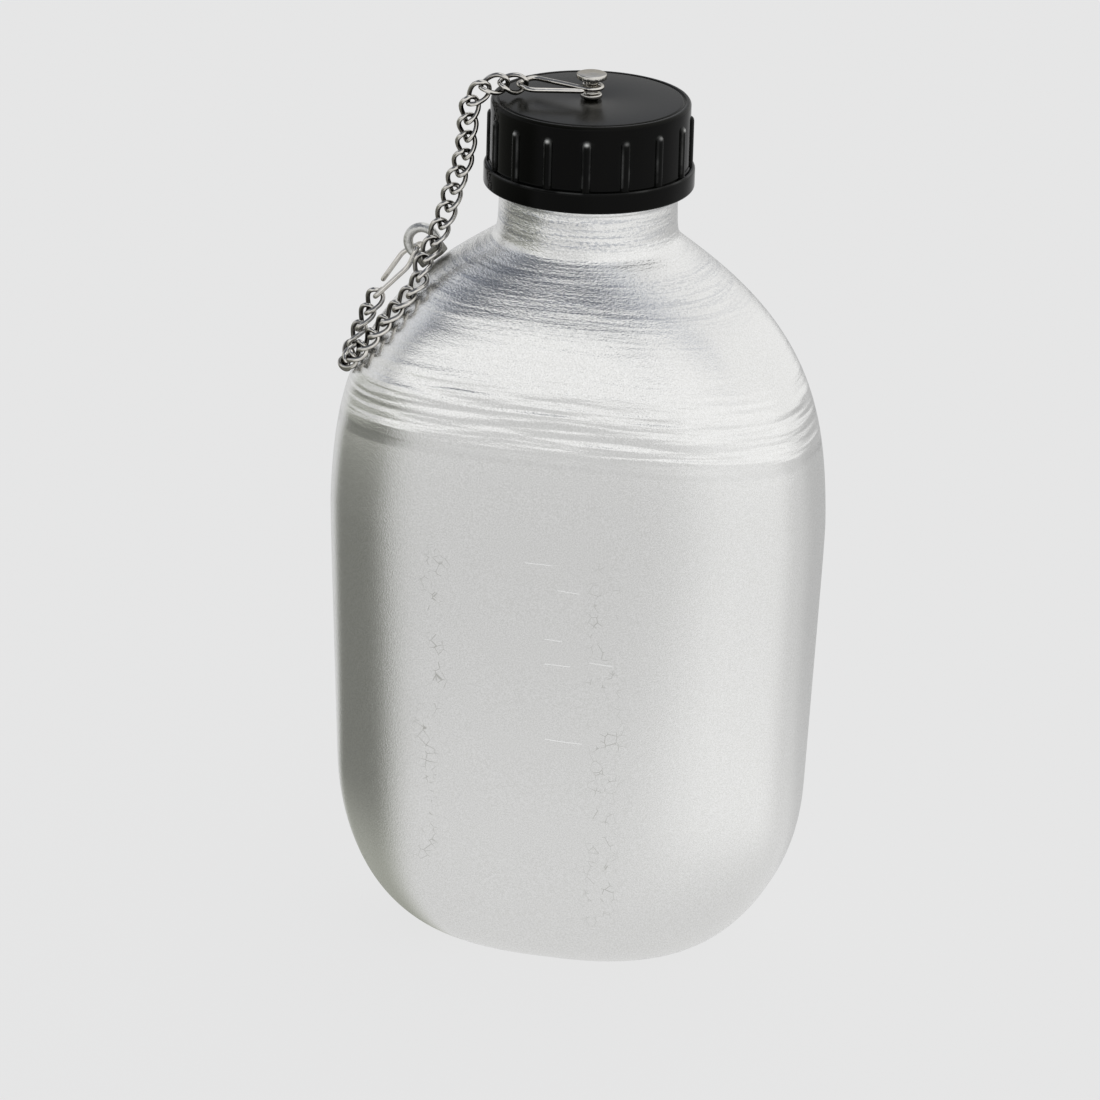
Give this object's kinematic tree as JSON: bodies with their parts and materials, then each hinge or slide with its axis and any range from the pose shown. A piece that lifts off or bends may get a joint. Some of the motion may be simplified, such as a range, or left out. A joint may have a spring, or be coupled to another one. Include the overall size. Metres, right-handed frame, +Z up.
{
  "type": "water canteen",
  "caption": "Flat-sided metal water bottle with a curved back, a narrow threaded neck, a ribbed screw cap and a chain from cap to shoulder.",
  "frame": {"origin": "on the neck's axis, in the plane of the flat base", "axes": "+Z up along the neck's axis, +X along the body's width away from the chain's eye, -Y out of the flatter face"},
  "size_m": [0.1178, 0.0719, 0.2141],
  "materials": {
    "bottle_metal": "spun and scuffed, satin",
    "cap_plastic": "moulded, glossy sides, duller top",
    "gasket_rubber": "matte",
    "plated_wire": "bright nickel plate",
    "eye_metal": "satin"
  },
  "bodies": {
    "bottle": {"bottle": "bottle_metal", "shoulder_eye": "eye_metal", "shoulder_clip": "plated_wire", "chain_link_17": "plated_wire", "chain_link_18": "plated_wire", "chain_link_19": "plated_wire", "chain_link_20": "plated_wire", "chain_link_21": "plated_wire", "chain_link_22": "plated_wire", "chain_link_23": "plated_wire", "chain_link_24": "plated_wire", "chain_link_25": "plated_wire"},
    "clip": {"cap_clip": "plated_wire", "chain_link_01": "plated_wire", "chain_link_02": "plated_wire", "chain_link_03": "plated_wire", "chain_link_04": "plated_wire"},
    "cap": {"cap": "cap_plastic", "cap_gasket": "gasket_rubber", "cap_rivet": "plated_wire"},
    "link_05": {"chain_link_05": "plated_wire"},
    "link_06": {"chain_link_06": "plated_wire"},
    "link_07": {"chain_link_07": "plated_wire"},
    "link_08": {"chain_link_08": "plated_wire"},
    "link_09": {"chain_link_09": "plated_wire"},
    "link_10": {"chain_link_10": "plated_wire"},
    "link_11": {"chain_link_11": "plated_wire"},
    "link_12": {"chain_link_12": "plated_wire"},
    "link_13": {"chain_link_13": "plated_wire"},
    "link_14": {"chain_link_14": "plated_wire"},
    "link_15": {"chain_link_15": "plated_wire"},
    "link_16": {"chain_link_16": "plated_wire"}
  },
  "joints": [
    {"name": "cap_rise", "type": "slide", "parent": "bottle", "child": "clip", "axis": [0, 0, 1], "range_m": [0, 0.00481]},
    {"name": "cap_turn", "type": "hinge", "parent": "clip", "child": "cap", "pos_m": [0, 0, 0.1875], "axis": [0, 0, 1], "range_deg": [0, 540]},
    {"name": "link_05_rise", "type": "slide", "parent": "bottle", "child": "link_05", "axis": [0, 0, 1], "range_m": [0, 0.00444]},
    {"name": "link_06_rise", "type": "slide", "parent": "bottle", "child": "link_06", "axis": [0, 0, 1], "range_m": [0, 0.00407]},
    {"name": "link_07_rise", "type": "slide", "parent": "bottle", "child": "link_07", "axis": [0, 0, 1], "range_m": [0, 0.0037]},
    {"name": "link_08_rise", "type": "slide", "parent": "bottle", "child": "link_08", "axis": [0, 0, 1], "range_m": [0, 0.00333]},
    {"name": "link_09_rise", "type": "slide", "parent": "bottle", "child": "link_09", "axis": [0, 0, 1], "range_m": [0, 0.00296]},
    {"name": "link_10_rise", "type": "slide", "parent": "bottle", "child": "link_10", "axis": [0, 0, 1], "range_m": [0, 0.0026]},
    {"name": "link_11_rise", "type": "slide", "parent": "bottle", "child": "link_11", "axis": [0, 0, 1], "range_m": [0, 0.00222]},
    {"name": "link_12_rise", "type": "slide", "parent": "bottle", "child": "link_12", "axis": [0, 0, 1], "range_m": [0, 0.00186]},
    {"name": "link_13_rise", "type": "slide", "parent": "bottle", "child": "link_13", "axis": [0, 0, 1], "range_m": [0, 0.00149]},
    {"name": "link_14_rise", "type": "slide", "parent": "bottle", "child": "link_14", "axis": [0, 0, 1], "range_m": [0, 0.00112]},
    {"name": "link_15_rise", "type": "slide", "parent": "bottle", "child": "link_15", "axis": [0, 0, 1], "range_m": [0, 0.000748]},
    {"name": "link_16_rise", "type": "slide", "parent": "bottle", "child": "link_16", "axis": [0, 0, 1], "range_m": [0, 0.000379]}
  ],
  "couplings": [
    {"joint": "cap_rise", "follows": "cap_turn", "m_per_rad": 0.0005093},
    {"joint": "link_05_rise", "follows": "cap_turn", "m_per_rad": 0.00047012},
    {"joint": "link_06_rise", "follows": "cap_turn", "m_per_rad": 0.00043094},
    {"joint": "link_07_rise", "follows": "cap_turn", "m_per_rad": 0.00039177},
    {"joint": "link_08_rise", "follows": "cap_turn", "m_per_rad": 0.00035259},
    {"joint": "link_09_rise", "follows": "cap_turn", "m_per_rad": 0.00031341},
    {"joint": "link_10_rise", "follows": "cap_turn", "m_per_rad": 0.00027424},
    {"joint": "link_11_rise", "follows": "cap_turn", "m_per_rad": 0.00023506},
    {"joint": "link_12_rise", "follows": "cap_turn", "m_per_rad": 0.00019588},
    {"joint": "link_13_rise", "follows": "cap_turn", "m_per_rad": 0.00015671},
    {"joint": "link_14_rise", "follows": "cap_turn", "m_per_rad": 0.00011753},
    {"joint": "link_15_rise", "follows": "cap_turn", "m_per_rad": 0.000078353},
    {"joint": "link_16_rise", "follows": "cap_turn", "m_per_rad": 0.000039177}
  ]
}
